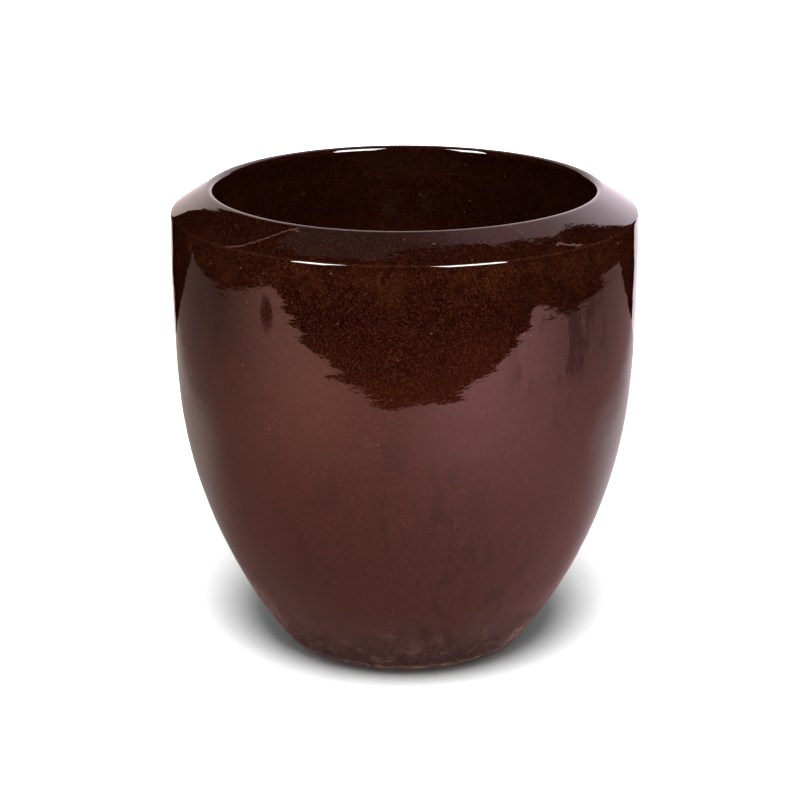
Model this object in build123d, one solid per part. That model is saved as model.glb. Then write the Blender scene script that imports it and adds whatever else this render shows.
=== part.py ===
from build123d import *
from math import acos, asin, atan2, cos, degrees, radians, sin, sqrt
import os

# A glazed terracotta planter: an egg-shaped wall, a sharp shoulder, and a straight collar that slopes in to a
# full round lip. Millimetres, +Z up, with the origin on the floor below the centre of the foot.
#
# Every piece is round about Z, so each one is a half section in (radius, height), revolved. The outside is three
# arcs that run smoothly into one another: foot, belly and upper wall. The surfaces of the clay and the glaze lie
# at an inset below it and share its centres, so an inset surface is the same arcs with smaller radii. Inside,
# one long sweep leaves the wall and runs up to the lip, so the clay is thickest behind the shoulder and thins to
# the lip.
# Angles are in degrees, from the outward radius, and positive upwards.

# Outside of the glazed pot
WIDEST_RADIUS = 241.7
WIDEST_HEIGHT = 394.5
SHOULDER_HEIGHT = 467.9
LIP_CREST_RADIUS = 201.0
LIP_TOP = 492.0
LIP_ROUND = 5.0
UPPER_ARC = 1659.0
BELLY_ARC = 513.0
FOOT_ARC = 116.0
BELLY_ANGLE = -3.87
FOOT_ANGLE = -35.4
SHOULDER_ROUND = 3.0

# The inside, from the wall to the lip
SWEEP_ARC = 300.0

# Layers of the wall
GLAZE = 1.0
CLAY = 13.0
WALL = CLAY + 2 * GLAZE
GLAZE_FOOT = 8.0
INNER_GLAZE_FOOT = 45.0

# Foot ring, floor and drain
RING_HEIGHT = 5.0
RING_INNER = 100.0
RING_OUTER = 122.0
RING_EDGE = 1.0
NOTCH_COUNT = 3
NOTCH_WIDTH = 30.0
NOTCH_HEIGHT = 3.5
FLOOR_HEIGHT = 21.0
WALL_FOOT = 13.0
SLAB_EDGE = 1.5
DRAIN_RADIUS = 14.0
DRAIN_EDGE = 1.5

# Seams between the clay sections, each with a V groove on the inside and a coil of clay pressed into it
FLOOR_COIL_REACH = 13.0
FLOOR_COIL_CLIMB = 11.0
FLOOR_GROOVE_DEPTH = 3.0
FLOOR_COIL_HOLLOW = 2.0
SEAM_HEIGHT = 250.0
SCARF_DROP = 12.0
WALL_COIL_HALF = 18.0
WALL_GROOVE_DEPTH = 4.0
COLLAR_COIL_HALF = 14.0
COLLAR_GROOVE_DEPTH = 5.0
CUT_REACH = 40.0

INNER_CLAY = WALL - GLAZE
SWEEP_CLAY = SWEEP_ARC + GLAZE


def polar(centre, radius, angle):
    """The point at this radius and angle from a centre."""
    return Vector(centre.X + radius * cos(radians(angle)), centre.Y + radius * sin(radians(angle)))


def angle_at(centre, radius, height):
    """The angle at which an arc passes a height, on its outward side."""
    return degrees(asin((height - centre.Y) / radius))


def arc(centre, radius, start, end):
    """The edge of an arc from one angle to another."""
    return CenterArc((centre.X, centre.Y), radius, start, end - start)


UPPER_CENTRE = Vector(WIDEST_RADIUS - UPPER_ARC, WIDEST_HEIGHT)
BELLY_CENTRE = polar(UPPER_CENTRE, UPPER_ARC - BELLY_ARC, BELLY_ANGLE)
FOOT_CENTRE = polar(BELLY_CENTRE, BELLY_ARC - FOOT_ARC, FOOT_ANGLE)
LIP_CENTRE = Vector(LIP_CREST_RADIUS, LIP_TOP - LIP_ROUND)


def collar_normal():
    """The direction square to the collar, whose outer line is tangent to the lip and ends at the shoulder."""
    rise = SHOULDER_HEIGHT - WIDEST_HEIGHT
    corner = Vector(UPPER_CENTRE.X + sqrt(UPPER_ARC**2 - rise**2), SHOULDER_HEIGHT)
    reach = corner - LIP_CENTRE
    return degrees(atan2(reach.Y, reach.X) + acos(LIP_ROUND / reach.length))


COLLAR_NORMAL = collar_normal()


def mitre_angle(inset):
    """The angle, on the upper arc, of the point that lies at one inset below both wall and collar."""
    to_lip = LIP_CENTRE - UPPER_CENTRE
    along = to_lip.dot(polar(Vector(0, 0), 1, COLLAR_NORMAL))
    return COLLAR_NORMAL - degrees(acos((LIP_ROUND - inset + along) / (UPPER_ARC - inset)))


def mitre_point(inset):
    """The point that lies at one inset below both wall and collar."""
    return polar(UPPER_CENTRE, UPPER_ARC - inset, mitre_angle(inset))


def sweep_centre():
    """The centre of the inner sweep, which is tangent to the inside of the wall and to the lip."""
    to_lip = LIP_CENTRE - UPPER_CENTRE
    from_upper = UPPER_ARC - WALL - SWEEP_ARC
    from_lip = SWEEP_ARC + LIP_ROUND
    between_sides = (to_lip.length**2 + from_upper**2 - from_lip**2) / (2 * to_lip.length * from_upper)
    return polar(UPPER_CENTRE, from_upper, degrees(atan2(to_lip.Y, to_lip.X) - acos(between_sides)))


def angle_to(centre, point):
    """The angle of a point, seen from a centre."""
    return degrees(atan2(point.Y - centre.Y, point.X - centre.X))


SWEEP_CENTRE = sweep_centre()
SWEEP_LOW = angle_to(UPPER_CENTRE, SWEEP_CENTRE)
SWEEP_HIGH = angle_to(SWEEP_CENTRE, LIP_CENTRE)
SHOULDER_SEAM = angle_to(SWEEP_CENTRE, mitre_point(0))


def wall_point(inset, height):
    """The point of the wall's surface at an inset and a height."""
    arcs = (
        (FOOT_CENTRE, FOOT_ARC, FOOT_ANGLE),
        (BELLY_CENTRE, BELLY_ARC, BELLY_ANGLE),
        (UPPER_CENTRE, UPPER_ARC, COLLAR_NORMAL),
    )
    for centre, radius, top in arcs:
        if height <= polar(centre, radius - inset, top).Y:
            return polar(centre, radius - inset, angle_at(centre, radius - inset, height))
    raise ValueError("the height is above the wall")


def wall_edges(inset, low, top_angle):
    """The wall's surface at an inset, from a height low in the foot arc up to an angle of the upper arc."""
    return [
        arc(FOOT_CENTRE, FOOT_ARC - inset, angle_at(FOOT_CENTRE, FOOT_ARC - inset, low), FOOT_ANGLE),
        arc(BELLY_CENTRE, BELLY_ARC - inset, FOOT_ANGLE, BELLY_ANGLE),
        arc(UPPER_CENTRE, UPPER_ARC - inset, BELLY_ANGLE, top_angle),
    ]


def outer_edges(inset, low, lip_end):
    """The outside of the pot at an inset: wall, rounded shoulder, collar, and the lip as far as an angle."""
    centre = mitre_point(SHOULDER_ROUND)
    turn = mitre_angle(SHOULDER_ROUND)
    shoulder = polar(centre, SHOULDER_ROUND - inset, COLLAR_NORMAL)
    lip = polar(LIP_CENTRE, LIP_ROUND - inset, COLLAR_NORMAL)
    return wall_edges(inset, low, turn) + [
        arc(centre, SHOULDER_ROUND - inset, turn, COLLAR_NORMAL),
        Line(shoulder, lip),
        arc(LIP_CENTRE, LIP_ROUND - inset, COLLAR_NORMAL, lip_end),
    ]


def inner_glaze_edges(inset):
    """One surface of the inner glaze: wall, sweep, and the lip up to its crest."""
    foot = angle_at(BELLY_CENTRE, BELLY_ARC - inset, INNER_GLAZE_FOOT)
    return [
        arc(BELLY_CENTRE, BELLY_ARC - inset, foot, BELLY_ANGLE),
        arc(UPPER_CENTRE, UPPER_ARC - inset, BELLY_ANGLE, SWEEP_LOW),
        arc(SWEEP_CENTRE, SWEEP_ARC + WALL - inset, SWEEP_LOW, SWEEP_HIGH),
        arc(LIP_CENTRE, LIP_ROUND - WALL + inset, SWEEP_HIGH + 180, 90),
    ]


def turned(section):
    """The solid of a half section revolved about Z."""
    return revolve(Plane.XZ * section, axis=Axis.Z, revolution_arc=360)


def clay_wall():
    """The clay above the floor slab in one section, before it is cut at its seams."""
    edges = outer_edges(GLAZE, WALL_FOOT, SWEEP_HIGH + 180)
    edges.append(arc(SWEEP_CENTRE, SWEEP_CLAY, SWEEP_HIGH, SWEEP_LOW))
    edges.extend(wall_edges(INNER_CLAY, WALL_FOOT, SWEEP_LOW))
    edges.append(Line(wall_point(INNER_CLAY, WALL_FOOT), wall_point(GLAZE, WALL_FOOT)))
    return make_face(edges)


def floor_slab():
    """The floor, whose raised middle fits inside the foot of the wall."""
    corner = wall_point(INNER_CLAY, FLOOR_HEIGHT)
    inner_foot = FOOT_ARC - INNER_CLAY
    outer_foot = FOOT_ARC - GLAZE
    edges = [
        Polyline(
            corner,
            (DRAIN_RADIUS, FLOOR_HEIGHT),
            (DRAIN_RADIUS, RING_HEIGHT),
            wall_point(GLAZE, RING_HEIGHT),
        ),
        arc(
            FOOT_CENTRE,
            outer_foot,
            angle_at(FOOT_CENTRE, outer_foot, RING_HEIGHT),
            angle_at(FOOT_CENTRE, outer_foot, WALL_FOOT),
        ),
        Line(wall_point(GLAZE, WALL_FOOT), wall_point(INNER_CLAY, WALL_FOOT)),
        arc(
            FOOT_CENTRE,
            inner_foot,
            angle_at(FOOT_CENTRE, inner_foot, WALL_FOOT),
            angle_at(FOOT_CENTRE, inner_foot, FLOOR_HEIGHT),
        ),
    ]
    slab = make_face(edges)
    rim = slab.vertices().filter_by_position(Axis.X, DRAIN_RADIUS - 0.1, DRAIN_RADIUS + 0.1)
    slab = fillet(rim, DRAIN_EDGE)
    edge = slab.vertices().filter_by_position(Axis.Y, RING_HEIGHT - 0.1, RING_HEIGHT + 0.1).sort_by(Axis.X)[-1]
    return fillet(edge, SLAB_EDGE)


def floor_groove():
    """The groove in the corner of floor and wall: its toe on the floor, its root, and its top on the wall."""
    toe = wall_point(INNER_CLAY, FLOOR_HEIGHT) - Vector(FLOOR_COIL_REACH, 0)
    root = wall_point(INNER_CLAY - FLOOR_GROOVE_DEPTH, FLOOR_HEIGHT - FLOOR_GROOVE_DEPTH)
    return toe, root, wall_point(INNER_CLAY, FLOOR_HEIGHT + FLOOR_COIL_CLIMB)


def wall_groove():
    """The groove along the inside of the scarf: its low edge, root and high edge."""
    low = wall_point(INNER_CLAY, SEAM_HEIGHT - WALL_COIL_HALF)
    root = wall_point(INNER_CLAY - WALL_GROOVE_DEPTH, SEAM_HEIGHT)
    return low, root, wall_point(INNER_CLAY, SEAM_HEIGHT + WALL_COIL_HALF)


def collar_groove():
    """The groove along the inside of the shoulder seam: its low edge, root and high edge."""
    half = degrees(COLLAR_COIL_HALF / SWEEP_CLAY)
    low = polar(SWEEP_CENTRE, SWEEP_CLAY, SHOULDER_SEAM - half)
    root = polar(SWEEP_CENTRE, SWEEP_CLAY + COLLAR_GROOVE_DEPTH, SHOULDER_SEAM)
    return low, root, polar(SWEEP_CENTRE, SWEEP_CLAY, SHOULDER_SEAM + half)


def coil(groove, face_middle):
    """The coil that fills a groove, with a smoothed face that passes through a point."""
    low, root, high = groove
    return make_face([Polyline(low, root, high), ThreePointArc(high, face_middle, low)])


def floor_coil():
    """The coil in the corner of floor and wall, smoothed to a slightly hollow face."""
    toe, _, top = floor_groove()
    chord = top - toe
    square = Vector(chord.Y, -chord.X).normalized()
    return coil(floor_groove(), (toe + top) / 2 + square * FLOOR_COIL_HOLLOW)


def wall_coil():
    """The coil over the seam half way up the wall, smoothed flush."""
    return coil(wall_groove(), wall_point(INNER_CLAY, SEAM_HEIGHT))


def collar_coil():
    """The coil inside the shoulder seam, smoothed flush with the sweep."""
    return coil(collar_groove(), polar(SWEEP_CENTRE, SWEEP_CLAY, SHOULDER_SEAM))


def between(lower_cut, upper_cut):
    """The area between two cuts through the wall, each given as its inner and its outer end."""
    return make_face(Polyline(lower_cut[0], lower_cut[1], upper_cut[1], upper_cut[0], close=True))


def seam_cuts():
    """The four cuts that divide the clay: under the wall, at the scarf, at the shoulder, and above the lip."""
    foot = wall_point(GLAZE, WALL_FOOT)
    scarf_root = wall_point(INNER_CLAY - WALL_GROOVE_DEPTH, SEAM_HEIGHT)
    scarf_end = wall_point(GLAZE, SEAM_HEIGHT - SCARF_DROP)
    scarf = (scarf_end - scarf_root).normalized() * CUT_REACH
    top = LIP_TOP + CUT_REACH
    return [
        (Vector(foot.X - CUT_REACH, WALL_FOOT), Vector(foot.X + CUT_REACH, WALL_FOOT)),
        (scarf_root - scarf, scarf_root + scarf),
        (
            polar(SWEEP_CENTRE, SWEEP_CLAY - CUT_REACH / 2, SHOULDER_SEAM),
            polar(SWEEP_CENTRE, SWEEP_CLAY + 2 * CUT_REACH, SHOULDER_SEAM),
        ),
        (Vector(LIP_CREST_RADIUS - CUT_REACH, top), Vector(WIDEST_RADIUS + CUT_REACH, top)),
    ]


def coat(surface_a, surface_b):
    """The section of a glaze coat between two surfaces whose ends face each other."""
    first, last = surface_a[0] @ 0, surface_a[-1] @ 1
    return make_face(surface_a + [Line(last, surface_b[-1] @ 1)] + surface_b + [Line(surface_b[0] @ 0, first)])


def foot_ring():
    """The ring that the pot stands on, with notches that let the drained water out."""
    width = RING_OUTER - RING_INNER
    section = Pos((RING_INNER + RING_OUTER) / 2, RING_HEIGHT / 2) * Rectangle(width, RING_HEIGHT)
    section = fillet(section.vertices().group_by(Axis.Y)[0], RING_EDGE)
    ring = turned(section)
    places = PolarLocations((RING_INNER + RING_OUTER) / 2, NOTCH_COUNT, start_angle=90)
    for place in places:
        ring -= place * Pos(0, 0, NOTCH_HEIGHT / 2) * Box(2 * width, NOTCH_WIDTH, NOTCH_HEIGHT)
    return ring


def clay_pieces():
    """The clay sections between their seams, and the coils in the seams."""
    coils = {"floor_seam_coil": floor_coil(), "wall_seam_coil": wall_coil(), "collar_seam_coil": collar_coil()}
    wall = clay_wall()
    slab = floor_slab()
    for corners in (floor_groove(), wall_groove(), collar_groove()):
        groove = make_face(Polyline(*corners, close=True))
        wall -= groove
        slab -= groove
    cuts = seam_cuts()
    sections = {"base_slab": slab}
    for name, low, high in zip(("lower_wall", "upper_wall", "collar"), cuts, cuts[1:]):
        sections[name] = wall & between(low, high)
    return {name: turned(section) for name, section in (sections | coils).items()}


def glaze_coats():
    """The outer and the inner coat of glaze, which meet along the crest of the lip."""
    outer = coat(outer_edges(0, GLAZE_FOOT, 90), outer_edges(GLAZE, GLAZE_FOOT, 90))
    inner = coat(inner_glaze_edges(WALL), inner_glaze_edges(INNER_CLAY))
    return {"outer_glaze": turned(outer), "inner_glaze": turned(inner)}


def main():
    os.makedirs("parts", exist_ok=True)
    pieces = {"foot_ring": foot_ring()} | clay_pieces() | glaze_coats()
    for name, piece in pieces.items():
        export_step(piece, f"parts/{name}.step")


main()
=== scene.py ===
import math

import bpy
import numpy as np
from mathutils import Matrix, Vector


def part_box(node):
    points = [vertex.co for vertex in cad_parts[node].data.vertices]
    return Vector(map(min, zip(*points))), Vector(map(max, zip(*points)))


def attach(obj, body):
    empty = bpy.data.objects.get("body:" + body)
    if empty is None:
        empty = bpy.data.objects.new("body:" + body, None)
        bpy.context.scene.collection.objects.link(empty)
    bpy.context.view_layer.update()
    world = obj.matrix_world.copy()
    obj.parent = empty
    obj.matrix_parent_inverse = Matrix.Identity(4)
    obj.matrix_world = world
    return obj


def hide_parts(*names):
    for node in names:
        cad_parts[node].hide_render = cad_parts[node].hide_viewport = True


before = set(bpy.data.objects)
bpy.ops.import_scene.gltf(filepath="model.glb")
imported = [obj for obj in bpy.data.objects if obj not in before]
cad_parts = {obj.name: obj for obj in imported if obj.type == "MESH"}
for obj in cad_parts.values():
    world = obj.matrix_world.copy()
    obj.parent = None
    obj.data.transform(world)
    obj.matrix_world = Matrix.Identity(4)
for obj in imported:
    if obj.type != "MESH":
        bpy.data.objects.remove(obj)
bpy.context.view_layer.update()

# A glazed terracotta planter. Metres, +Z up, origin on the floor on the pot's axis.
# Each piece is a closed outline in (radius, height) turned about Z, then bent by one shared hand-made
# unevenness, so that pieces that touch in the CAD model still touch. The outlines are the CAD design's: foot,
# belly and upper arcs that run into one another, with every inner surface at an inset on the same centres,
# and one long sweep that runs from the inside of the wall up to the lip.

# The arcs, angles and thicknesses of the design
WIDEST_RADIUS = 0.2417
WIDEST_HEIGHT = 0.3945
SHOULDER_HEIGHT = 0.4679
LIP_CREST_RADIUS = 0.201
UPPER_ARC = 1.659
BELLY_ARC = 0.513
FOOT_ARC = 0.116
BELLY_ANGLE = math.radians(-3.87)
FOOT_ANGLE = math.radians(-35.4)
SHOULDER_ROUND = 0.003
SWEEP_ARC = 0.300
GLAZE = 0.001
WALL = 0.015
INNER_CLAY = WALL - GLAZE
LIP_ROUND = 0.005
SWEEP_CLAY = SWEEP_ARC + GLAZE
CREST = math.pi / 2

# Places that the CAD model sets
LIP_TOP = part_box("outer_glaze")[1][2]
GLAZE_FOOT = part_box("outer_glaze")[0][2]
INNER_GLAZE_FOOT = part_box("inner_glaze")[0][2]
RING_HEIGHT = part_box("foot_ring")[1][2]
FLOOR_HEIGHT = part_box("base_slab")[1][2]
WALL_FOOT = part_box("lower_wall")[0][2]
FLOOR_COIL_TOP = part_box("floor_seam_coil")[1][2]
WALL_COIL_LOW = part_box("wall_seam_coil")[0][2]
WALL_COIL_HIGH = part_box("wall_seam_coil")[1][2]
SEAM_HEIGHT = (WALL_COIL_LOW + WALL_COIL_HIGH) / 2
SCARF_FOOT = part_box("upper_wall")[0][2]
RING_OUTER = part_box("foot_ring")[1][0]

# The foot, the seams and their coils
RING_INNER = 0.100
RING_EDGE = 0.001
NOTCHES = 3
NOTCH_HEIGHT = 0.0035
NOTCH_HALF_WIDTH = 0.015
NOTCH_SLOPE = 0.004
DRAIN_RADIUS = 0.014
FLOOR_GROOVE = 0.003
FLOOR_COIL_REACH = 0.013
FLOOR_COIL_HOLLOW = 0.002
WALL_GROOVE = 0.004
COLLAR_GROOVE = 0.005
COLLAR_COIL_HALF = 0.014
SLAB_EDGE = 0.0015

# The glaze's relief
OUTER_BEAD = 0.0004
INNER_BEAD = 0.0005
BEAD_REACH = 0.004
COLLAR_FULLNESS = 0.00016

# The fineness of the meshes
STEP = 0.0028
SEGMENTS = 384
GLAZE_SEGMENTS = 440


# ---------------------------------------------------------------- outlines in (radius, height)

def polar(centre, radius, angle):
    """The point at this radius and angle from a centre."""
    return np.array([centre[0] + radius * math.cos(angle), centre[1] + radius * math.sin(angle)])


UPPER_CENTRE = np.array([WIDEST_RADIUS - UPPER_ARC, WIDEST_HEIGHT])
BELLY_CENTRE = polar(UPPER_CENTRE, UPPER_ARC - BELLY_ARC, BELLY_ANGLE)
FOOT_CENTRE = polar(BELLY_CENTRE, BELLY_ARC - FOOT_ARC, FOOT_ANGLE)
LIP_CENTRE = np.array([LIP_CREST_RADIUS, LIP_TOP - LIP_ROUND])


def collar_normal():
    """The direction square to the collar, whose line is tangent to the lip and ends at the shoulder."""
    rise = SHOULDER_HEIGHT - WIDEST_HEIGHT
    reach = np.array([UPPER_CENTRE[0] + math.sqrt(UPPER_ARC**2 - rise**2), SHOULDER_HEIGHT]) - LIP_CENTRE
    return math.atan2(reach[1], reach[0]) + math.acos(LIP_ROUND / np.hypot(*reach))


COLLAR_NORMAL = collar_normal()


def mitre_angle(inset):
    """The angle, on the upper arc, of the point at one inset below both wall and collar."""
    along = (LIP_CENTRE - UPPER_CENTRE) @ polar((0, 0), 1, COLLAR_NORMAL)
    return COLLAR_NORMAL - math.acos((LIP_ROUND - inset + along) / (UPPER_ARC - inset))


def mitre_point(inset):
    """The point at one inset below both wall and collar."""
    return polar(UPPER_CENTRE, UPPER_ARC - inset, mitre_angle(inset))


def sweep_centre():
    """The centre of the inner sweep, which is tangent to the inside of the wall and to the lip."""
    to_lip = LIP_CENTRE - UPPER_CENTRE
    length = np.hypot(*to_lip)
    from_upper = UPPER_ARC - WALL - SWEEP_ARC
    from_lip = SWEEP_ARC + LIP_ROUND
    between_sides = (length**2 + from_upper**2 - from_lip**2) / (2 * length * from_upper)
    return polar(UPPER_CENTRE, from_upper, math.atan2(to_lip[1], to_lip[0]) - math.acos(between_sides))


def angle_to(centre, point):
    """The angle of a point, seen from a centre."""
    return math.atan2(point[1] - centre[1], point[0] - centre[0])


SWEEP_CENTRE = sweep_centre()
SWEEP_LOW = angle_to(UPPER_CENTRE, SWEEP_CENTRE)
SWEEP_HIGH = angle_to(SWEEP_CENTRE, LIP_CENTRE)
SHOULDER_SEAM = angle_to(SWEEP_CENTRE, mitre_point(0))


def wall_radius(inset, height):
    """The wall's radius at an inset, for a height or an array of heights."""
    heights = np.asarray(height, dtype=float)
    radius = np.zeros_like(heights)
    limits = (
        (UPPER_CENTRE, UPPER_ARC, np.inf),
        (BELLY_CENTRE, BELLY_ARC, polar(BELLY_CENTRE, BELLY_ARC - inset, BELLY_ANGLE)[1]),
        (FOOT_CENTRE, FOOT_ARC, polar(FOOT_CENTRE, FOOT_ARC - inset, FOOT_ANGLE)[1]),
    )
    for centre, arc_radius, top in limits:
        depth = np.clip((arc_radius - inset)**2 - (heights - centre[1])**2, 0, None)
        radius = np.where(heights <= top, centre[0] + np.sqrt(depth), radius)
    return radius


def wall_line(inset, low, high, step):
    """Points of the wall's surface at an inset, between two heights, at about even steps."""
    count = max(2, math.ceil(1.15 * abs(high - low) / step) + 1)
    heights = np.linspace(low, high, count)
    return np.column_stack([wall_radius(inset, heights), heights])


def arc(centre, radius, start, end, step):
    """Points of an arc at about even steps."""
    count = max(3, math.ceil(abs(end - start) * radius / step) + 1)
    return np.array([polar(centre, radius, angle) for angle in np.linspace(start, end, count)])


def outline(*stretches, step=0.006):
    """One closed outline of points, run anticlockwise, with repeats dropped and long gaps divided."""
    points = np.vstack([np.atleast_2d(stretch) for stretch in stretches])
    kept = []
    for start, end in zip(points, np.roll(points, -1, axis=0)):
        gap = np.hypot(*(end - start))
        if gap < 1e-6:
            continue
        pieces = max(1, math.ceil(gap / step))
        kept.extend(start + (end - start) * part / pieces for part in range(pieces))
    kept = np.array(kept)
    following = np.roll(kept, -1, axis=0)
    area = np.sum(kept[:, 0] * following[:, 1] - following[:, 0] * kept[:, 1])
    return kept if area > 0 else kept[::-1]


def rounded(corner, before, after, radius):
    """Points of a rounded corner between two neighbours."""
    to_before = (before - corner) / np.hypot(*(before - corner))
    to_after = (after - corner) / np.hypot(*(after - corner))
    half = math.acos(np.clip(to_before @ to_after, -1, 1)) / 2
    middle = (to_before + to_after) / np.hypot(*(to_before + to_after))
    centre = corner + middle * radius / math.sin(half)
    first = corner + to_before * radius / math.tan(half) - centre
    last = corner + to_after * radius / math.tan(half) - centre
    turn = [first * (1 - t) + last * t for t in np.linspace(0, 1, 6)]
    return np.array([centre + spoke / np.hypot(*spoke) * radius for spoke in turn])


def outside_line(inset, low, lip_end, step):
    """The outside of the pot at an inset: wall, shoulder, collar, and the lip as far as an angle."""
    centre = mitre_point(SHOULDER_ROUND)
    turn = mitre_angle(SHOULDER_ROUND)
    corner = SHOULDER_ROUND - inset
    lip = LIP_ROUND - inset
    collar = [polar(centre, corner, COLLAR_NORMAL), polar(LIP_CENTRE, lip, COLLAR_NORMAL)]
    count = math.ceil(np.hypot(*(collar[1] - collar[0])) / step) + 1
    return np.vstack([
        wall_line(inset, low, polar(centre, corner, turn)[1], step),
        arc(centre, corner, turn, COLLAR_NORMAL, step / 5),
        np.linspace(collar[0], collar[1], count),
        arc(LIP_CENTRE, lip, COLLAR_NORMAL, lip_end, step / 3),
    ])


def inside_line(inset, low, step):
    """The inner glaze's surface at an inset: wall, sweep, and the lip to its crest."""
    turn = polar(UPPER_CENTRE, UPPER_ARC - inset, SWEEP_LOW)
    return np.vstack([
        wall_line(inset, low, turn[1], step),
        arc(SWEEP_CENTRE, SWEEP_ARC + WALL - inset, SWEEP_LOW, SWEEP_HIGH, step),
        arc(LIP_CENTRE, LIP_ROUND - WALL + inset, SWEEP_HIGH + math.pi, CREST, step / 3),
    ])


def glaze_outlines(step):
    """The outer and the inner glaze coat."""
    rolled = GLAZE / 2
    outer_foot = arc((wall_radius(rolled, GLAZE_FOOT), GLAZE_FOOT), rolled, math.pi, 2 * math.pi, rolled)
    inner_foot = arc((wall_radius(WALL - rolled, INNER_GLAZE_FOOT), INNER_GLAZE_FOOT), rolled, math.pi,
                     2 * math.pi, rolled)
    return {
        "outer_glaze": outline(
            outer_foot,
            outside_line(0, GLAZE_FOOT + rolled, CREST, step),
            outside_line(GLAZE, GLAZE_FOOT + rolled, CREST, 3 * step)[::-1],
        ),
        "inner_glaze": outline(
            inner_foot,
            inside_line(INNER_CLAY, INNER_GLAZE_FOOT + rolled, 3 * step),
            inside_line(WALL, INNER_GLAZE_FOOT + rolled, step)[::-1],
        ),
    }


def shoulder_seam_end():
    """The outer end of the shoulder seam, where it meets the clay's rounded corner."""
    along = polar((0, 0), 1, SHOULDER_SEAM)
    to_round = mitre_point(SHOULDER_ROUND) - SWEEP_CENTRE
    middle = to_round @ along
    reach = middle + math.sqrt((SHOULDER_ROUND - GLAZE)**2 - to_round @ to_round + middle**2)
    return SWEEP_CENTRE + along * reach


def seam_points():
    """Named points of the seams between the clay sections."""
    fit_top = FLOOR_HEIGHT - FLOOR_GROOVE
    half = COLLAR_COIL_HALF / SWEEP_CLAY
    points = {
        "scarf_root": (wall_radius(INNER_CLAY - WALL_GROOVE, SEAM_HEIGHT), SEAM_HEIGHT),
        "floor_root": (wall_radius(INNER_CLAY - FLOOR_GROOVE, fit_top), fit_top),
        "floor_toe": (wall_radius(INNER_CLAY, FLOOR_HEIGHT) - FLOOR_COIL_REACH, FLOOR_HEIGHT),
        "floor_top": (wall_radius(INNER_CLAY, FLOOR_COIL_TOP), FLOOR_COIL_TOP),
        "collar_root": polar(SWEEP_CENTRE, SWEEP_CLAY + COLLAR_GROOVE, SHOULDER_SEAM),
        "collar_low": polar(SWEEP_CENTRE, SWEEP_CLAY, SHOULDER_SEAM - half),
        "collar_high": polar(SWEEP_CENTRE, SWEEP_CLAY, SHOULDER_SEAM + half),
        "collar_end": shoulder_seam_end(),
    }
    return {name: np.array(point) for name, point in points.items()}


def clay_outlines(step):
    """The clay sections, which meet at their seams."""
    at = seam_points()
    lip = LIP_ROUND - GLAZE
    shoulder = mitre_point(SHOULDER_ROUND)
    turn = mitre_angle(SHOULDER_ROUND)
    seam = angle_to(shoulder, at["collar_end"])
    sweep_foot = polar(UPPER_CENTRE, UPPER_ARC - INNER_CLAY, SWEEP_LOW)[1]
    low, high = (angle_to(SWEEP_CENTRE, at[name]) for name in ("collar_low", "collar_high"))
    return {
        "lower_wall": outline(
            wall_line(GLAZE, WALL_FOOT, SCARF_FOOT, 3 * step),
            at["scarf_root"],
            wall_line(INNER_CLAY, WALL_COIL_LOW, FLOOR_COIL_TOP, step),
            at["floor_root"],
            wall_line(INNER_CLAY, FLOOR_HEIGHT - FLOOR_GROOVE, WALL_FOOT, step),
        ),
        "upper_wall": outline(
            wall_line(GLAZE, SCARF_FOOT, polar(shoulder, SHOULDER_ROUND - GLAZE, turn)[1], 3 * step),
            arc(shoulder, SHOULDER_ROUND - GLAZE, turn, seam, step),
            at["collar_root"],
            arc(SWEEP_CENTRE, SWEEP_CLAY, low, SWEEP_LOW, 2 * step),
            wall_line(INNER_CLAY, sweep_foot, WALL_COIL_HIGH, step),
            at["scarf_root"],
        ),
        "collar": outline(
            arc(shoulder, SHOULDER_ROUND - GLAZE, seam, COLLAR_NORMAL, step / 5),
            arc(LIP_CENTRE, lip, COLLAR_NORMAL, SWEEP_HIGH + math.pi, step / 2),
            arc(SWEEP_CENTRE, SWEEP_CLAY, SWEEP_HIGH, high, step),
            at["collar_root"],
        ),
    }


def coil_outlines(step):
    """The coils of clay pressed into the seams on the inside."""
    at = seam_points()
    toe, top = at["floor_toe"], at["floor_top"]
    chord = top - toe
    hollow = np.array([chord[1], -chord[0]]) / np.hypot(*chord) * FLOOR_COIL_HOLLOW
    across = np.linspace(0, 1, 13)[:, None]
    low, high = (angle_to(SWEEP_CENTRE, at[name]) for name in ("collar_low", "collar_high"))
    return {
        "floor_seam_coil": outline(
            toe,
            at["floor_root"],
            top + (toe - top) * across + hollow * 4 * across * (1 - across),
        ),
        "wall_seam_coil": outline(
            at["scarf_root"],
            wall_line(INNER_CLAY, WALL_COIL_HIGH, WALL_COIL_LOW, step),
        ),
        "collar_seam_coil": outline(arc(SWEEP_CENTRE, SWEEP_CLAY, low, high, step), at["collar_root"]),
    }


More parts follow.
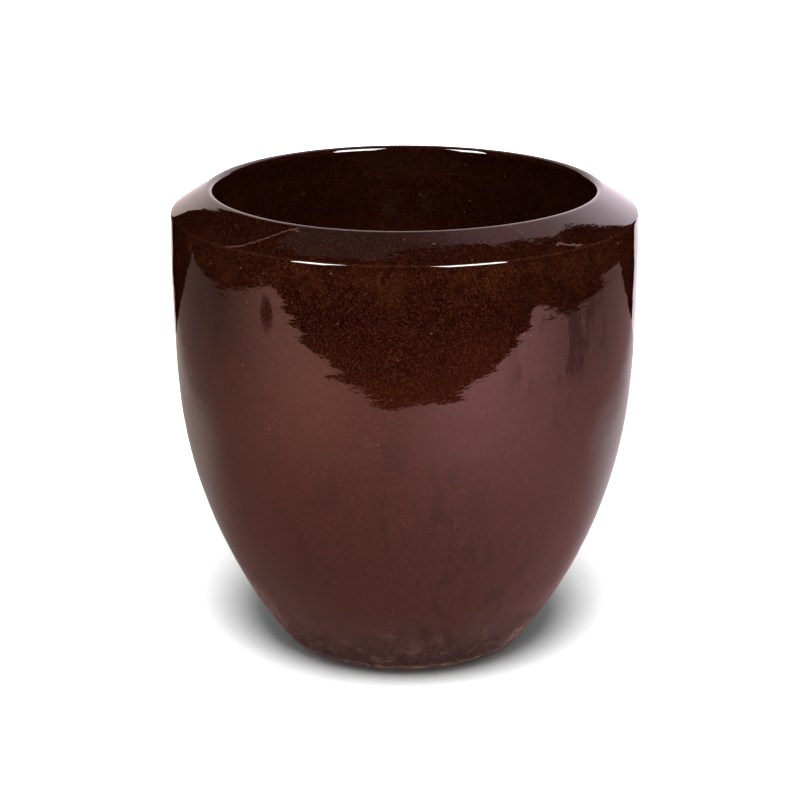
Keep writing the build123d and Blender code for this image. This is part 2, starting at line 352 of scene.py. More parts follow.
def foot_outlines(step):
    """The floor slab and the ring below it."""
    at = seam_points()
    hole_top = np.array([DRAIN_RADIUS, FLOOR_HEIGHT])
    hole_foot = np.array([DRAIN_RADIUS, RING_HEIGHT])
    rim_foot = np.array([wall_radius(GLAZE, RING_HEIGHT), RING_HEIGHT])
    rim_top = np.array([wall_radius(GLAZE, WALL_FOOT), WALL_FOOT])
    fit_top = FLOOR_HEIGHT - FLOOR_GROOVE
    ring = [np.array(point) for point in
            ((RING_INNER, RING_HEIGHT), (RING_INNER, 0), (RING_OUTER, 0), (RING_OUTER, RING_HEIGHT))]
    return {
        "base_slab": outline(
            rounded(hole_top, at["floor_toe"], hole_foot, SLAB_EDGE),
            rounded(hole_foot, hole_top, rim_foot, SLAB_EDGE),
            rounded(rim_foot, hole_foot, rim_top, SLAB_EDGE),
            rim_top,
            wall_line(INNER_CLAY, WALL_FOOT, fit_top, step),
            at["floor_toe"],
        ),
        "foot_ring": outline(
            ring[0],
            rounded(ring[1], ring[0], ring[2], RING_EDGE),
            rounded(ring[2], ring[1], ring[3], RING_EDGE),
            ring[3],
            step=0.0015,
        ),
    }


# ---------------------------------------------------------------- the unevenness of hand work

random = np.random.default_rng(11)


def waves(count, around, length, size):
    """Random waves: whole numbers of cycles around the pot, and wavelengths up its height."""
    cycles = random.integers(around[0], around[1] + 1, count)
    rates = 2 * math.pi / random.uniform(*length, count) * random.choice([-1, 1], count)
    heights = size * random.uniform(0.5, 1.5, count) / math.sqrt(count / 2)
    return list(zip(cycles, rates, random.uniform(0, 2 * math.pi, count), heights))


def wave_sum(terms, turn, height):
    """The sum of the waves at each point."""
    total = np.zeros_like(turn)
    for cycles, rate, phase, size in terms:
        total += size * np.cos(cycles * turn + rate * height + phase)
    return total


def smooth_step(value, low, high):
    """0 below low, 1 above high, and smooth between, whichever of them is larger."""
    part = np.clip((value - low) / (high - low), 0, 1)
    return part * part * (3 - 2 * part)


BODY_WAVES = waves(10, (2, 6), (0.25, 0.9), 0.0005)
RIM_WAVES = waves(5, (2, 4), (10.0, 20.0), 0.0002)
GLAZE_SWELL = waves(60, (3, 26), (0.035, 0.16), 0.00005)
GLAZE_RINGS = waves(26, (0, 5), (0.012, 0.040), 0.000016)
FOOT_EDGE = waves(18, (3, 40), (10.0, 20.0), 0.0007)
INNER_EDGE = waves(22, (3, 30), (10.0, 20.0), 0.0030)
TROWEL_MARKS = waves(40, (0, 7), (0.006, 0.030), 0.00016)
CLAY_LUMPS = waves(40, (8, 60), (0.02, 0.08), 0.00012)


def bend_body(radius, turn, height):
    """The unevenness that every piece shares. The foot stays flat and round."""
    risen = smooth_step(height, 0.01, 0.09)
    rim = smooth_step(height, 0.36, 0.49)
    radius = radius + risen * wave_sum(BODY_WAVES, turn, height)
    return radius, height + rim * wave_sum(RIM_WAVES, turn, height)


def glaze_edge(radius, turn, height, edge, level, reach):
    """Moves the lower edge of a glaze coat up and down along the wall."""
    near = 1 - smooth_step(height, level, level + reach)
    moved = height + near * wave_sum(edge, turn, height)
    return radius + wall_radius(0, moved) - wall_radius(0, height), moved


def bead(height, foot, size):
    """The thicker roll of glaze along the lower edge of a coat."""
    return size * np.exp(-((height - foot) / BEAD_REACH)**2)


def bend_outer_glaze(radius, turn, height, air):
    """The outer glaze: an uneven foot with a rolled edge, soft swells, faint rings and a full collar."""
    along = np.clip((radius - LIP_CREST_RADIUS) / (WIDEST_RADIUS - LIP_CREST_RADIUS), 0, 1)
    on_collar = smooth_step(height, SHOULDER_HEIGHT - 0.001, SHOULDER_HEIGHT + 0.004)
    fullness = COLLAR_FULLNESS * 4 * along * (1 - along) * on_collar
    roll = bead(height, GLAZE_FOOT, OUTER_BEAD)
    calm = 0.35 + 0.65 * smooth_step(height, 0.05, 0.15)
    swell = wave_sum(GLAZE_SWELL, turn, height) + wave_sum(GLAZE_RINGS, turn, height) * calm
    radius, height = glaze_edge(radius, turn, height, FOOT_EDGE, GLAZE_FOOT, 0.030)
    radius = radius + air * (roll + swell + fullness * math.cos(COLLAR_NORMAL))
    return radius, height + air * fullness * math.sin(COLLAR_NORMAL)


def bend_inner_glaze(radius, turn, height, air):
    """The inner glaze: a wandering lower edge with runs, and soft swells."""
    roll = bead(height, INNER_GLAZE_FOOT, INNER_BEAD)
    swell = wave_sum(GLAZE_SWELL, turn, height)
    radius, height = glaze_edge(radius, turn, height, INNER_EDGE, INNER_GLAZE_FOOT, 0.040)
    return radius - air * (roll + swell), height


def bend_bare_clay(radius, turn, height, air):
    """The bare inside of the clay: finger and trowel marks that run round the pot."""
    bare = air * (1 - smooth_step(height, INNER_GLAZE_FOOT - 0.014, INNER_GLAZE_FOOT - 0.008))
    marks = wave_sum(TROWEL_MARKS, turn, height) + wave_sum(CLAY_LUMPS, turn, height)
    return radius - bare * smooth_step(height, FLOOR_HEIGHT, FLOOR_HEIGHT + 0.02) * marks, height


def bend_foot_ring(radius, turn, height, air):
    """The foot ring: hand-cut notches in its lower face, one of them straight behind."""
    share = 2 * math.pi / NOTCHES
    offset = (turn - math.pi / 2 + share / 2) % share - share / 2
    beside = smooth_step(np.abs(offset) * radius, NOTCH_HALF_WIDTH - NOTCH_SLOPE, NOTCH_HALF_WIDTH)
    cut = NOTCH_HEIGHT * (1 - beside)
    return radius, height + cut * (1 - height / RING_HEIGHT)


def bend_nothing(radius, turn, height, air):
    """A piece that follows the body alone."""
    return radius, height


# ---------------------------------------------------------------- pieces

def air_side(points, surface):
    """1 for outline points on the surface that shows, 0 for those against another piece."""
    if surface is None:
        return np.zeros(len(points))
    return surface(points)


def on_outer_glaze(points):
    """The part of the outer glaze's outline that isn't against the clay."""
    wall = points[:, 0] > wall_radius(GLAZE / 2, points[:, 1])
    to_lip = points - LIP_CENTRE
    above = to_lip @ polar((0, 0), 1, COLLAR_NORMAL) > LIP_ROUND - GLAZE / 2
    lip = np.hypot(*to_lip.T) > LIP_ROUND - GLAZE / 2
    low = points[:, 1] < mitre_point(0)[1]
    return np.where(low, wall, np.where(points[:, 0] > LIP_CENTRE[0] + 0.003, above, lip)).astype(float)


def on_inner_glaze(points):
    """The part of the inner glaze's outline that isn't against the clay."""
    wall = points[:, 0] < wall_radius(WALL - GLAZE / 2, points[:, 1])
    sweep = np.hypot(*(points - SWEEP_CENTRE).T) < SWEEP_ARC + GLAZE / 2
    below_sweep = points[:, 1] < polar(UPPER_CENTRE, UPPER_ARC - WALL, SWEEP_LOW)[1]
    below_lip = 1 - smooth_step(points[:, 1], LIP_TOP - 0.022, LIP_TOP - 0.010)
    return np.where(below_sweep, wall, sweep) * below_lip


def on_inner_wall(points):
    """The inner face of a wall section."""
    return (points[:, 0] < wall_radius(INNER_CLAY - 0.0005, points[:, 1])).astype(float)


def turned(name, points, segments, bend, surface=None):
    """A closed mesh: the outline turned about Z and bent."""
    air = air_side(points, surface)
    rows = len(points)
    turn, row = np.meshgrid(np.arange(segments) * 2 * math.pi / segments, np.arange(rows), indexing="ij")
    radius, height = points[row, 0], points[row, 1]
    radius, height = bend(radius, turn, height, air[row])
    radius, height = bend_body(radius, turn, height)
    places = np.stack([radius * np.cos(turn), radius * np.sin(turn), height], axis=-1).reshape(-1, 3)
    index = np.arange(segments * rows).reshape(segments, rows)
    beside = np.roll(index, -1, axis=0)
    faces = np.stack([index, beside, np.roll(beside, -1, axis=1), np.roll(index, -1, axis=1)], axis=-1)
    mesh = bpy.data.meshes.new(name)
    mesh.from_pydata(places.tolist(), [], faces.reshape(-1, 4).tolist())
    mesh.update()
    mesh.shade_smooth()
    mesh.set_sharp_from_angle(angle=math.radians(38))
    piece = bpy.data.objects.new(name, mesh)
    bpy.context.scene.collection.objects.link(piece)
    return piece


def make_piece(node, points, segments, bend, surface, material):
    """One piece of the pot, which stands for its CAD node."""
    piece = turned(node + "_made", points, segments, bend, surface)
    piece.data.materials.append(material)
    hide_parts(node)
    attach(piece, "root")
    return piece


# ---------------------------------------------------------------- materials

class Nodes:
    """Short calls that add shader nodes to one material."""

    def __init__(self, name):
        self.material = bpy.data.materials.new(name)
        self.material.use_nodes = True
        self.tree = self.material.node_tree
        self.shader = self.tree.nodes["Principled BSDF"]
        self.place = self.add("TexCoord").outputs["Object"]

    def add(self, kind, settings=None, **inputs):
        """A node of a kind, with its settings and its inputs, which are values or other nodes' outputs."""
        node = self.tree.nodes.new("ShaderNode" + kind)
        for name, value in (settings or {}).items():
            setattr(node, name, value)
        for name, value in inputs.items():
            self.set(node.inputs[name], value)
        return node

    def set(self, socket, value):
        """Links an output to a socket, or sets its value."""
        if isinstance(value, bpy.types.NodeSocket):
            self.tree.links.new(value, socket)
        else:
            socket.default_value = value

    def axis(self, letter):
        """One coordinate of the place."""
        return self.add("SeparateXYZ", Vector=self.place).outputs[letter]

    def math(self, operation, first, second=0.0):
        """One sum of one or two values."""
        node = self.add("Math", {"operation": operation})
        self.set(node.inputs[0], first)
        self.set(node.inputs[1], second)
        return node.outputs[0]

    def times(self, first, second):
        """A product."""
        return self.math("MULTIPLY", first, second)

    def ramp(self, value, low, high, to_low=0.0, to_high=1.0):
        """A smooth step from to_low at low to to_high at high."""
        node = self.add("MapRange", {"interpolation_type": "SMOOTHSTEP"})
        for socket, given in zip(node.inputs[:5], (value, low, high, to_low, to_high)):
            self.set(socket, given)
        return node.outputs[0]

    def mix(self, factor, first, second):
        """Two colours mixed, each a node's output or a (red, green, blue) triple."""
        node = self.add("Mix", {"data_type": "RGBA"})
        for socket, value in ((0, factor), (6, first), (7, second)):
            self.set(node.inputs[socket], (*value, 1) if isinstance(value, tuple) else value)
        return node.outputs[2]

    def over(self, colour, mask, share, added):
        """A colour with a share of another laid over it where the mask is 1."""
        return self.mix(self.times(mask, share), colour, added)

    def scaled(self, across, up):
        """The place scaled differently across and up the pot."""
        node = self.add("VectorMath", {"operation": "MULTIPLY"})
        self.set(node.inputs[0], self.place)
        self.set(node.inputs[1], (across, across, up))
        return node.outputs[0]

    def noise(self, across, up, detail=2.0, roughness=0.5):
        """Noise from 0 to 1 with this many lumps a metre across and up."""
        place = self.scaled(across, up)
        node = self.add("TexNoise", Vector=place, Scale=1.0, Detail=detail, Roughness=roughness)
        return node.outputs["Fac"]

    def spots(self, per_metre, radius, share):
        """Round spots in a share of the cells of a grid of random points."""
        cells = self.add("TexVoronoi", Vector=self.place, Scale=per_metre)
        near = self.ramp(cells.outputs["Distance"], radius, radius * 0.4)
        chance = self.add("SeparateColor", Color=cells.outputs["Color"]).outputs[0]
        return self.times(near, self.math("GREATER_THAN", chance, 1 - share))

    def turn(self):
        """The angle round the pot, from +X."""
        return self.math("ARCTAN2", self.axis("Y"), self.axis("X"))

    def radius(self):
        """The distance from the pot's axis."""
        x, y = self.axis("X"), self.axis("Y")
        return self.math("SQRT", self.math("ADD", self.times(x, x), self.times(y, y)))

    def band(self, value, middle, half, soft):
        """1 within a half width of the middle, with soft edges."""
        away = self.math("ABSOLUTE", self.math("SUBTRACT", value, middle))
        return self.ramp(away, half + soft, half)

    def patch(self, turn, height, half_turn, half_height, ragged):
        """A ragged patch about a place on the pot."""
        sideways = self.math("DIVIDE", self.math("SUBTRACT", self.turn(), math.radians(turn)), half_turn)
        upwards = self.math("DIVIDE", self.math("SUBTRACT", self.axis("Z"), height), half_height)
        away = self.math("ADD", self.times(sideways, sideways), self.times(upwards, upwards))
        away = self.math("ADD", away, self.times(self.noise(160, 160, 4, 0.7), ragged))
        return self.ramp(away, 1 + ragged / 2, ragged / 2)

    def bump(self, height, distance, under=None):
        """Small relief of this many metres, on top of another relief."""
        node = self.add("Bump", Strength=1.0, Distance=distance, Height=height)
        if under is not None:
            self.set(node.inputs["Normal"], under)
        return node.outputs["Normal"]

    def finish(self, colour, roughness, normal, **values):
        """Sets the shader's colour, roughness, relief and plain values."""
        self.set(self.shader.inputs["Base Color"], colour)
        self.set(self.shader.inputs["Roughness"], roughness)
        self.set(self.shader.inputs["Normal"], normal)
        for name, value in values.items():
            self.shader.inputs[name.replace("_", " ")].default_value = value
        return self.material


# Glaze colours, in linear red, green and blue, like all the colours below
OLIVE_BROWN = (0.0042, 0.0006, 0.0003)
RED_BROWN = (0.0120, 0.0022, 0.0010)
THIN_GOLD = (0.0230, 0.0060, 0.0012)
GRAIN = (0.0440, 0.0115, 0.0052)
SPECK = (0.1100, 0.0380, 0.0150)
PINHOLE = (0.2200, 0.0900, 0.0300)
STREAK = (0.0050, 0.0011, 0.0005)
CREASE = (0.0360, 0.0130, 0.0050)
RIDGE = (0.0600, 0.0240, 0.0080)

# Worn glaze at the foot
WORN_DARK = (0.0060, 0.0021, 0.0016)
WORN_PALE = (0.0360, 0.0160, 0.0128)
DUST = (0.0850, 0.0470, 0.0390)
PIT = (0.0040, 0.0016, 0.0014)
SCUFF = (0.2200, 0.1350, 0.1050)
PALE_EDGE = (0.1500, 0.0900, 0.0720)

# Bare clay
CLAY_DARK = (0.36, 0.150, 0.090)
CLAY_PALE = (0.47, 0.215, 0.135)
CLAY_WIPED = (0.30, 0.125, 0.075)
CLAY_BLOOM = (0.62, 0.42, 0.32)
DARK_GROG = (0.20, 0.085, 0.055)
PALE_GROG = (0.66, 0.46, 0.34)

GLAZE_IOR = 1.5


def glaze_colour(n, height, foot):
    """The glaze's colour: olive brown above, redder below, golden where it is thin, worn at the foot."""
    lower = n.ramp(n.math("ADD", height, n.times(n.noise(9, 9, 3), 0.12)), 0.49, 0.36)
    under_shoulder = n.band(height, SHOULDER_HEIGHT - 0.018, 0.006, 0.030)
    thin = n.times(under_shoulder, n.ramp(n.noise(60, 60, 5, 0.7), 0.40, 0.70))
    grain = n.ramp(n.noise(520, 520, 3, 0.75), 0.47, 0.68)
    colour = n.mix(lower, OLIVE_BROWN, RED_BROWN)
    colour = n.over(colour, thin, 0.30, THIN_GOLD)
    colour = n.over(colour, grain, 0.50, GRAIN)
    colour = n.over(colour, n.spots(330, 0.24, 0.06), 0.35, SPECK)
    colour = n.over(colour, n.spots(160, 0.11, 0.10), 0.8, PINHOLE)
    return n.mix(foot, colour, worn_colour(n))


def worn_colour(n):
    """The dry, scuffed glaze near the foot: grey brown, freckled and pitted."""
    freckles = n.ramp(n.noise(450, 450, 4, 0.8), 0.42, 0.60)
    dusty = n.ramp(n.noise(60, 60, 4, 0.7), 0.50, 0.68)
    colour = n.mix(freckles, WORN_DARK, WORN_PALE)
    colour = n.over(colour, dusty, 0.5, DUST)
    return n.mix(n.spots(300, 0.26, 0.30), colour, PIT)


def glaze_body():
    """The start of a glaze: its nodes, colour, roughness and relief, and how worn and scuffed its foot is."""
    n = Nodes("brown_glaze")
    height = n.axis("Z")
    foot = n.ramp(n.math("ADD", height, n.times(n.noise(30, 30, 5, 0.7), 0.10)), 0.150, 0.062)
    left = n.patch(-153, 0.055, 0.24, 0.050, 0.9)
    right = n.patch(-36, 0.022, 0.20, 0.026, 0.9)
    scuffed = n.math("MAXIMUM", left, right)
    foot = n.times(n.math("MAXIMUM", foot, scuffed), 0.85)
    normal = n.bump(n.noise(75, 130, 3, 0.5), 0.000080)
    normal = n.bump(n.noise(260, 420, 2), 0.000009, normal)
    normal = n.bump(n.times(foot, n.noise(450, 450, 4, 0.8)), 0.0007, normal)
    worn = n.times(foot, n.ramp(n.noise(90, 90, 4), 0.3, 0.7, 0.10, 0.38))
    return n, glaze_colour(n, height, foot), n.math("ADD", 0.03, worn), normal, foot, scuffed


def inner_glaze_material():
    """The glaze inside the pot."""
    n, colour, roughness, normal, _, _ = glaze_body()
    return n.finish(colour, roughness, normal, IOR=GLAZE_IOR)


def dark_streaks(n):
    """Dark streaks down the wall: faint ones in cloudy patches, and a strong run of them on the right."""
    faint = n.times(n.ramp(n.noise(80, 16, 4, 0.6), 0.50, 0.62), n.ramp(n.noise(7, 7, 2), 0.45, 0.60))
    run = n.times(n.band(n.turn(), math.radians(-49), 0.16, 0.22), n.band(n.axis("Z"), 0.385, 0.035, 0.035))
    run = n.times(run, n.ramp(n.noise(42, 12, 4, 0.65), 0.46, 0.58))
    return n.math("MAXIMUM", faint, run), run


def pale_foot(n, colour, scuffed):
    """The glaze's colour with pale scuffs near the foot, and a pale line along its lower edge."""
    pale = n.times(scuffed, n.ramp(n.noise(200, 200, 5, 0.8), 0.47, 0.62))
    broken = n.ramp(n.noise(150, 150, 4), 0.35, 0.6)
    edge = n.times(n.band(n.axis("Z"), GLAZE_FOOT + 0.0015, 0.001, 0.003), broken)
    return n.over(n.over(colour, pale, 0.9, SCUFF), edge, 0.7, PALE_EDGE)


def ridge(n, start, end, low_radius, high_radius):
    """A thin raised line of glaze that runs up the collar between two angles round the pot."""
    turn = n.turn()
    path = n.ramp(turn, math.radians(start), math.radians(end), low_radius, high_radius)
    path = n.math("ADD", path, n.times(n.math("SUBTRACT", n.noise(120, 120, 3), 0.5), 0.010))
    away = n.math("ABSOLUTE", n.math("SUBTRACT", n.radius(), path))
    middle, half = math.radians((start + end) / 2), math.radians(abs(end - start) / 2)
    on_collar = n.ramp(n.axis("Z"), SHOULDER_HEIGHT, SHOULDER_HEIGHT + 0.001)
    return n.times(n.times(n.ramp(away, 0.0014, 0.0002), n.band(turn, middle, half, 0.02)), on_collar)


def outer_glaze_material():
    """The glaze outside: streaks, a pale foot and shoulder line, ridges, a pimple and dull patches."""
    n, colour, roughness, normal, foot, scuffed = glaze_body()
    streaks, run = dark_streaks(n)
    shoulder = n.band(n.axis("Z"), SHOULDER_HEIGHT + 0.0002, 0.0003, 0.0008)
    ridges = n.math("MAXIMUM", ridge(n, -136, -119, 0.240, 0.208), ridge(n, -51, -45, 0.231, 0.237))
    pimple = n.patch(-83, 0.4824, 0.009, 0.0014, 0.1)
    colour = pale_foot(n, n.over(colour, streaks, 0.60, STREAK), scuffed)
    colour = n.over(colour, shoulder, 0.20, CREASE)
    colour = n.over(colour, ridges, 0.5, RIDGE)
    dull = n.patch(-123, 0.412, 0.040, 0.024, 1.2)
    dull = n.math("MAXIMUM", dull, n.math("MAXIMUM", n.times(run, 0.60), n.times(foot, 0.90)))
    n.set(n.shader.inputs["Specular IOR Level"], n.ramp(dull, 0.0, 1.0, 0.5, 0.08))
    normal = n.bump(n.math("ADD", ridges, n.times(pimple, 4.0)), 0.00012, normal)
    return n.finish(colour, roughness, normal, IOR=GLAZE_IOR)


def clay_material():
    """Bare fired terracotta: matt, grainy, wiped round by hand, with grog and pale bloom."""
    n = Nodes("terracotta")
    wipe = n.noise(10, 260, 4, 0.6)
    grain = n.noise(900, 900, 4, 0.75)
    colour = n.mix(n.ramp(n.noise(12, 12, 5, 0.6), 0.3, 0.75), CLAY_DARK, CLAY_PALE)
    colour = n.over(colour, n.ramp(wipe, 0.4, 0.7), 0.35, CLAY_WIPED)
    colour = n.over(colour, n.ramp(n.noise(30, 30, 6, 0.7), 0.56, 0.75), 0.35, CLAY_BLOOM)
    colour = n.over(colour, n.spots(240, 0.22, 0.25), 0.7, DARK_GROG)
    colour = n.over(colour, n.spots(330, 0.20, 0.20), 0.6, PALE_GROG)
    normal = n.bump(grain, 0.00018, n.bump(wipe, 0.00035))
    return n.finish(colour, n.ramp(grain, 0.3, 0.7, 0.78, 0.95), normal, Specular_IOR_Level=0.3)


# ---------------------------------------------------------------- studio

FOCAL_LENGTH = 91.1
SENSOR_WIDTH = 36.0
CAMERA_DISTANCE = 2.16
CAMERA_ELEVATION = math.radians(18.66)
CAMERA_AIM = Vector((-0.0048, 0, 0.2575))

FLOOR_REACH = 30.0
TABLE_HEIGHT = 0.0005
BACKDROP_DISTANCE = 1.0
CEILING_HEIGHT = 3.0

OVERHEAD_SIZE = 2.3
OVERHEAD_DISTANCE = 3.0
OVERHEAD_ELEVATION = math.radians(74)
OVERHEAD_RADIANCE = 60

SOFTBOX_DISTANCE = 2.4
SOFTBOX_ELEVATION = math.radians(28)
SOFTBOX_RADIANCE = 24
SOFTBOX_LAMP_HEIGHT = 0.9
SOFTBOX_FACE_HALF_HEIGHT = 0.9
SOFTBOX_FACE_GLOW = 30.0

BLACK = (0.0, 0.0, 0.0)
WHITE = (1.0, 1.0, 1.0)
FLOOR_GREY = (0.3, 0.3, 0.3)
BACKDROP_LEFT = (0.98, 0.76, 0.71)
BACKDROP_RIGHT_LOW = (1.50, 1.25, 1.38)
BACKDROP_RIGHT_HIGH = (1.00, 0.66, 0.68)
CEILING_LEFT = (0.12, 0.11, 0.11)
CEILING_RIGHT = (0.95, 0.54, 0.60)

# The table's colours on the left and on the right, with light and shade painted in: brighter to the front and
# behind the pot, dim in the middle, and darker at the far corners
TABLE_FRONT = (0.76, 0.35, 0.27), (0.90, 0.44, 0.45)
TABLE_MIDDLE = (0.20, 0.120, 0.110), (0.35, 0.190, 0.190)
TABLE_BEHIND = (0.40, 0.330, 0.290), (0.58, 0.480, 0.500)
TABLE_FAR_CORNERS = (0.18, 0.118, 0.108), (0.32, 0.180, 0.180)

# The cards' outlines: the table and ceiling in (x, y), and the backdrop in (x, z)
TABLE_OUTLINE = [
    (-1.87, -0.98), (-1.1, -1.02), (-0.55, -1.04), (0.2, -1.0), (0.75, -0.97), (1.2, -0.93), (1.72, -0.90),
    (1.72, 1.0), (-1.87, 1.0),
]
BACKDROP_OUTLINE = [
    (-0.95, 3.0), (-0.92, 2.19), (-0.90, 1.77), (-0.88, 1.35), (-0.84, 1.11), (-0.67, 0.72), (-0.62, 0.0),
    (0.80, 0.0), (0.82, 0.88), (1.01, 1.34), (1.27, 2.17), (1.37, 2.70), (1.40, 3.0),
]
CEILING_OUTLINE = [
    (-1.45, 1.0), (-1.12, 0.62), (-0.78, 0.38), (-0.45, 0.22), (-0.10, 0.20), (0.05, 0.255), (0.49, 0.32),
    (1.05, 0.65), (1.40, 1.0),
]


def sheet(name, corners, material, seen_by):
    """A flat card of the studio that only some kinds of ray see."""
    mesh = bpy.data.meshes.new(name)
    mesh.from_pydata(corners, [], [list(range(len(corners)))])
    card = bpy.data.objects.new(name, mesh)
    bpy.context.scene.collection.objects.link(card)
    card.data.materials.append(material)
    for ray in ("camera", "diffuse", "glossy", "transmission", "volume_scatter", "shadow"):
        setattr(card, "visible_" + ray, ray in seen_by)
    return card


def glowing(n, colour, strength=1.0):
    """Makes a material that only gives light."""
    n.shader.inputs["Base Color"].default_value = (*BLACK, 1)
    n.shader.inputs["Emission Strength"].default_value = strength
    n.set(n.shader.inputs["Emission Color"], colour)
    return n.material


def matt(n, colour):
    """Makes a material without any gloss."""
    n.set(n.shader.inputs["Base Color"], colour)
    n.shader.inputs["Roughness"].default_value = 1.0
    n.shader.inputs["Specular IOR Level"].default_value = 0.0
    return n.material


def backdrop_material():
    """The backdrop, a glowing card whose light is painted: whiter low down on the right, and dimmer to the
    left and high up.
    """
    n = Nodes("backdrop")
    right = n.mix(n.ramp(n.axis("Z"), 0.8, 2.6), BACKDROP_RIGHT_LOW, BACKDROP_RIGHT_HIGH)
    return glowing(n, n.mix(n.ramp(n.axis("X"), -0.7, 0.3), BACKDROP_LEFT, right))


def ceiling_material():
    """The ceiling, a glowing card whose light is painted: nearly dark to the left, and pinkish to the right.
    """
    n = Nodes("ceiling")
    return glowing(n, n.mix(n.ramp(n.axis("X"), -0.1, 1.1), CEILING_LEFT, CEILING_RIGHT))


def floor_material():
    """A pale floor: grey under its bright overhead light, and beyond it whiter and glowing, a painted light
    that keeps the far floor white.
    """
    n = Nodes("floor")
    distance = n.add("VectorMath", {"operation": "LENGTH"}, Vector=n.place).outputs["Value"]
    far = n.ramp(distance, 1.0, 2.4)
    # Painted light: the far floor glows and is whiter
    n.set(n.shader.inputs["Emission Strength"], n.times(far, 0.25))
    n.shader.inputs["Emission Color"].default_value = (*WHITE, 1)
    return matt(n, n.mix(far, FLOOR_GREY, WHITE))


def table_material():
    """The pinkish table top, whose light and shade are painted: brighter to the front, to the right and
    behind the pot, with a painted shade in a band a little left of the middle.
    """
    n = Nodes("table")
    side = n.ramp(n.axis("X"), -0.6, 0.45)
    places = (TABLE_FRONT, TABLE_MIDDLE, TABLE_BEHIND, TABLE_FAR_CORNERS)
    front, middle, behind, corners = (n.mix(side, left, right) for left, right in places)
    behind = n.mix(n.ramp(n.math("ABSOLUTE", n.axis("X")), 0.60, 0.95), behind, corners)
    colour = n.mix(n.ramp(n.axis("Y"), -0.05, 0.30), middle, behind)
    colour = n.mix(n.ramp(n.axis("Y"), 0.15, -1.0), colour, front)
    # Painted shade: a soft darker band about a little left of the middle of the table
    painted_shade_band = n.band(n.axis("X"), -0.12, 0.0, 0.65)
    return matt(n, n.over(colour, painted_shade_band, 0.35, BLACK))


def direction(azimuth, elevation):
    """A unit vector from the pot. Azimuth 0 is towards the camera, and 90 degrees is to its right."""
    flat = math.cos(elevation)
    return Vector((math.sin(azimuth) * flat, -math.cos(azimuth) * flat, math.sin(elevation)))


def hung(name, data, place, towards):
    """A lamp or a camera at a place, looking back along a direction."""
    thing = bpy.data.objects.new(name, data)
    bpy.context.scene.collection.objects.link(thing)
    thing.location = place
    thing.rotation_euler = towards.to_track_quat("Z", "Y").to_euler()
    return thing


def lamp(light, area, radiance, place, towards):
    """An area light of one radiance, which is itself neither seen nor reflected."""
    light.energy = radiance * math.pi * area
    hanging = hung(light.name, light, place, towards)
    hanging.visible_camera = False
    hanging.visible_glossy = False
    return hanging


def only(light, thing, state):
    """Lets a light include or exclude one thing."""
    lit = bpy.data.collections.new(light.name + "_" + state.lower())
    lit.objects.link(thing)
    lit.collection_objects[0].light_linking.link_state = state
    light.light_linking.receiver_collection = lit


def overhead(floor):
    """A wide round light high above the floor and a little to the front, which lights only the floor."""
    light = bpy.data.lights.new("overhead", "AREA")
    light.shape = "DISK"
    light.size = OVERHEAD_SIZE
    towards = direction(0, OVERHEAD_ELEVATION)
    area = math.pi * (OVERHEAD_SIZE / 2)**2
    only(lamp(light, area, OVERHEAD_RADIANCE, towards * OVERHEAD_DISTANCE, towards), floor, "INCLUDE")


def softbox(name, azimuth, width, floor):
    """A softbox that lights the pot and not the floor. Its reflected face is twice as tall as its lamp."""
    towards = direction(math.radians(azimuth), SOFTBOX_ELEVATION)
    middle = Vector((0, 0, SHOULDER_HEIGHT)) + towards * SOFTBOX_DISTANCE
    light = bpy.data.lights.new(name, "AREA")
    light.shape = "RECTANGLE"
    light.size = width
    light.size_y = SOFTBOX_LAMP_HEIGHT
    area = width * SOFTBOX_LAMP_HEIGHT
    only(lamp(light, area, SOFTBOX_RADIANCE, middle, towards), floor, "EXCLUDE")
    across = direction(math.radians(azimuth + 90), 0) * width / 2
    up = towards.cross(across).normalized() * SOFTBOX_FACE_HALF_HEIGHT
    corners = [middle - across - up, middle + across - up, middle + across + up, middle - across + up]
    face = glowing(Nodes(name + "_face"), (*WHITE, 1), SOFTBOX_FACE_GLOW)
    sheet(name + "_face", corners, face, ("glossy",))


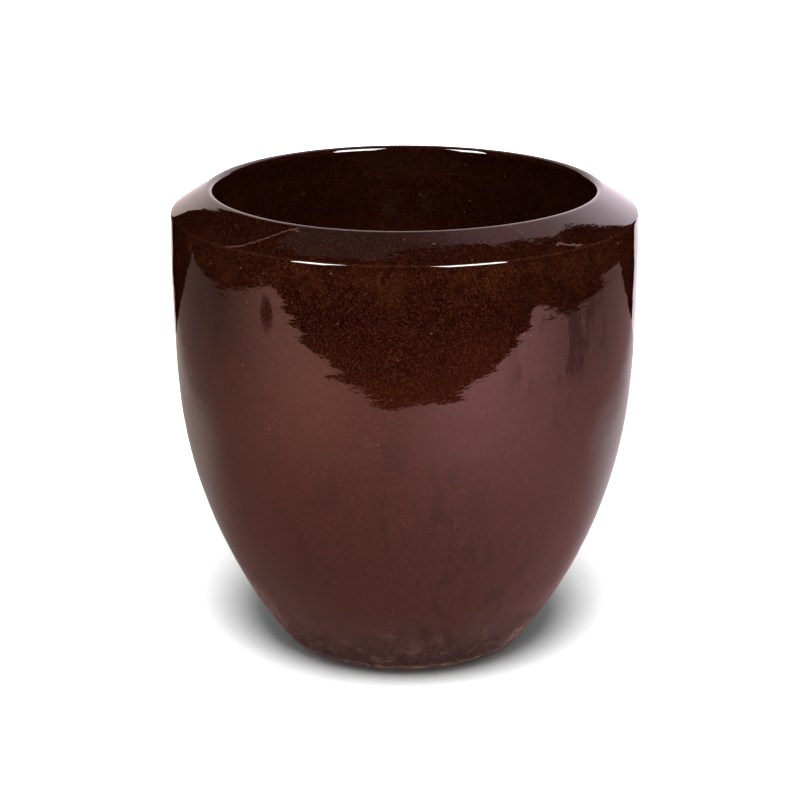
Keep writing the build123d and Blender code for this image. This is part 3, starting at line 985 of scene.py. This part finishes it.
def surroundings():
    """White all round to the eye, and dark in the glaze's reflections."""
    scene = bpy.context.scene
    scene.view_settings.view_transform = "Standard"
    scene.world = bpy.data.worlds.new("studio")
    scene.world.use_nodes = True
    background = scene.world.node_tree.nodes["Background"]
    background.inputs["Color"].default_value = (*WHITE, 1)
    background.inputs["Strength"].default_value = 1.0
    scene.world.cycles_visibility.glossy = False


def studio():
    """The floor that the eye sees, the table, backdrop and ceiling that the glaze reflects, and the lamps."""
    surroundings()
    corners = [(x * FLOOR_REACH, y * FLOOR_REACH, 0) for x, y in ((-1, -1), (1, -1), (1, 1), (-1, 1))]
    floor = sheet("floor", corners, floor_material(), ("camera", "diffuse", "shadow"))
    for name, corners, material in (
        ("table", [(x, y, TABLE_HEIGHT) for x, y in TABLE_OUTLINE], table_material()),
        ("backdrop", [(x, BACKDROP_DISTANCE, z) for x, z in BACKDROP_OUTLINE], backdrop_material()),
        ("ceiling", [(x, y, CEILING_HEIGHT) for x, y in CEILING_OUTLINE], ceiling_material()),
    ):
        sheet(name, corners, material, ("glossy",))
    overhead(floor)
    softbox("softbox_left", -44, 0.76, floor)
    softbox("softbox_right", 33, 1.20, floor)


def camera():
    """The camera, level across, a little above the pot, with the pot's axis just right of centre."""
    data = bpy.data.cameras.new("camera")
    data.lens = FOCAL_LENGTH
    data.sensor_width = SENSOR_WIDTH
    towards = direction(0, CAMERA_ELEVATION)
    bpy.context.scene.camera = hung("camera", data, CAMERA_AIM + towards * CAMERA_DISTANCE, towards)


# ---------------------------------------------------------------- making

camera()
studio()
outer = outer_glaze_material()
inner = inner_glaze_material()
clay = clay_material()

glazes = glaze_outlines(STEP)
for name, bend, surface, glaze in (
    ("outer_glaze", bend_outer_glaze, on_outer_glaze, outer),
    ("inner_glaze", bend_inner_glaze, on_inner_glaze, inner),
):
    make_piece(name, glazes[name], GLAZE_SEGMENTS, bend, surface, glaze)
for name, points in clay_outlines(STEP).items():
    make_piece(name, points, SEGMENTS, bend_bare_clay, on_inner_wall, clay)
for name, points in coil_outlines(STEP).items():
    make_piece(name, points, SEGMENTS, bend_nothing, None, clay)
feet = foot_outlines(STEP)
for name, bend in (("base_slab", bend_nothing), ("foot_ring", bend_foot_ring)):
    make_piece(name, feet[name], SEGMENTS, bend, None, clay)
